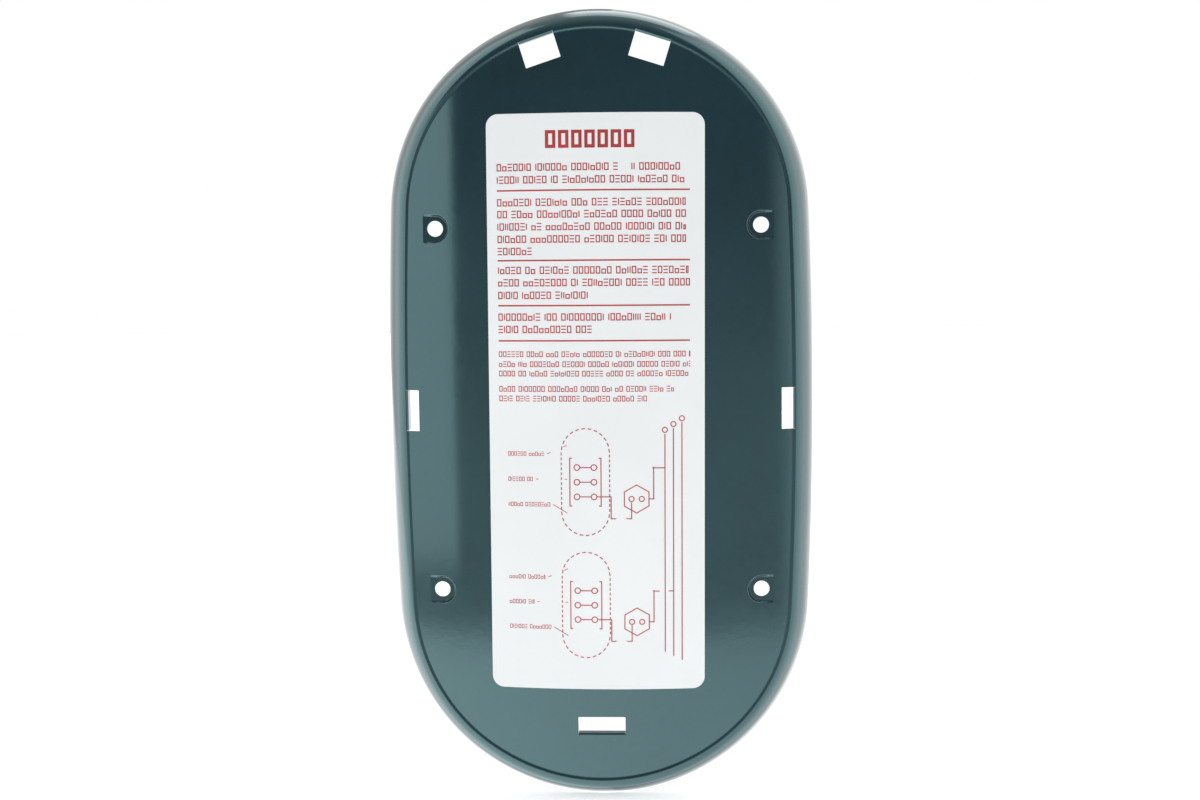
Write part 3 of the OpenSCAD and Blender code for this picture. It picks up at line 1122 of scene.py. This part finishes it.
def make_floor(s):
    """A wide pale floor that the cover stands on."""
    half, level = s.floor_size / 2, COVER_LOW.z
    mesh = bpy.data.meshes.new("floor")
    mesh.from_pydata([(-half, -half, level), (half, -half, level), (half, half, level),
                      (-half, half, level)], [], [(0, 1, 2, 3)])
    mesh.materials.append(floor_material(s))
    floor = bpy.data.objects.new("floor", mesh)
    floor.visible_glossy = False
    bpy.context.scene.collection.objects.link(floor)


def make_lamp(s):
    """A low soft lamp in front, which makes the label's foot brighter than its head."""
    lamp = bpy.data.lights.new("low soft lamp", "AREA")
    lamp.shape, lamp.size, lamp.size_y, lamp.energy = "RECTANGLE", s.lamp_w, s.lamp_h, s.lamp_power
    low = bpy.data.objects.new("low soft lamp", lamp)
    low.location = (0.0, -s.lamp_forward, COVER_LOW.z + s.lamp_up)
    low.rotation_euler = (math.radians(90), 0.0, 0.0)
    low.visible_camera = low.visible_glossy = False
    bpy.context.scene.collection.objects.link(low)


def make_camera(s):
    """The camera, level at first and then turned, tilted and rolled."""
    camera = bpy.data.objects.new("camera", bpy.data.cameras.new("camera"))
    camera.data.lens = s.lens
    camera.data.clip_start, camera.data.clip_end = 0.01, 30.0
    turn = (Matrix.Rotation(s.yaw, 4, "Z") @ Matrix.Rotation(s.pitch, 4, "X")
            @ Matrix.Rotation(s.roll, 4, "Y"))
    level_view = Matrix.Rotation(math.pi / 2, 4, "X")
    place = Matrix.Translation((s.camera_x, s.camera_y, s.camera_z))
    camera.matrix_world = place @ turn @ level_view
    bpy.context.scene.collection.objects.link(camera)
    bpy.context.scene.camera = camera


# ---------------------------------------------------------------- operators


class BuildCover(bpy.types.Operator):
    """Make the stamped and painted sheet in place of its CAD solid"""

    bl_idname = "cover.build_sheet"
    bl_label = "Stamped cover"

    def execute(self, context):
        paint = context.scene.paint_settings
        materials = [paint_material("cover gloss paint", paint, paint.roughness),
                     paint_material("cover back paint", paint, paint.back_roughness)]
        piece = cover_skin(context.scene.cover_settings).make("cover_sheet", materials)
        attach(piece, "root")
        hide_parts("cover_panel")
        return {"FINISHED"}


class BuildLabel(bpy.types.Operator):
    """Make the label film and its print in place of the label's CAD solid"""

    bl_idname = "cover.build_label"
    bl_label = "Label"

    def execute(self, context):
        s = context.scene.label_settings
        shape = Stamping(context.scene.cover_settings)
        film = label_skin(s, shape).make("label_film", [label_material(s)])
        press = Press(s, shape)
        print_text(press)
        print_diagram(press)
        ink = press.skin.make("label_print", [ink_material(s)])
        for piece in (film, ink):
            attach(piece, "root")
        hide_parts("label")
        return {"FINISHED"}


class BuildStage(bpy.types.Operator):
    """Make the pale floor, the soft light and the camera"""

    bl_idname = "cover.build_stage"
    bl_label = "Stage"

    def execute(self, context):
        s = context.scene.stage_settings
        make_floor(s)
        light_world()
        make_lamp(s)
        context.scene.view_settings.view_transform = "Standard"
        make_camera(s)
        return {"FINISHED"}


class CoverPanel(bpy.types.Panel):
    """Lists the pieces and their settings"""

    bl_idname = "VIEW3D_PT_heater_cover"
    bl_label = "Heater cover"
    bl_space_type = "VIEW_3D"
    bl_region_type = "UI"
    bl_category = "Cover"

    def draw(self, context):
        scene = context.scene
        for operator, settings in ((BuildStage, scene.stage_settings),
                                   (BuildCover, scene.cover_settings),
                                   (None, scene.paint_settings),
                                   (BuildLabel, scene.label_settings)):
            box = self.layout.box()
            if operator:
                box.operator(operator.bl_idname)
            for name in settings.__annotations__:
                box.prop(settings, name)


SETTINGS = {"cover_settings": CoverSettings, "label_settings": LabelSettings,
            "paint_settings": PaintSettings, "stage_settings": StageSettings}
OPERATORS = (BuildStage, BuildCover, BuildLabel)


def register():
    for kind in (*SETTINGS.values(), *OPERATORS, CoverPanel):
        bpy.utils.register_class(kind)
    for name, kind in SETTINGS.items():
        setattr(bpy.types.Scene, name, PointerProperty(type=kind))


def unregister():
    for name in SETTINGS:
        delattr(bpy.types.Scene, name)
    for kind in (CoverPanel, *reversed(OPERATORS), *reversed(SETTINGS.values())):
        bpy.utils.unregister_class(kind)


def main():
    """Builds everything."""
    register()
    bpy.ops.cover.build_stage()
    bpy.ops.cover.build_sheet()
    bpy.ops.cover.build_label()


if __name__ == "__main__":
    main()
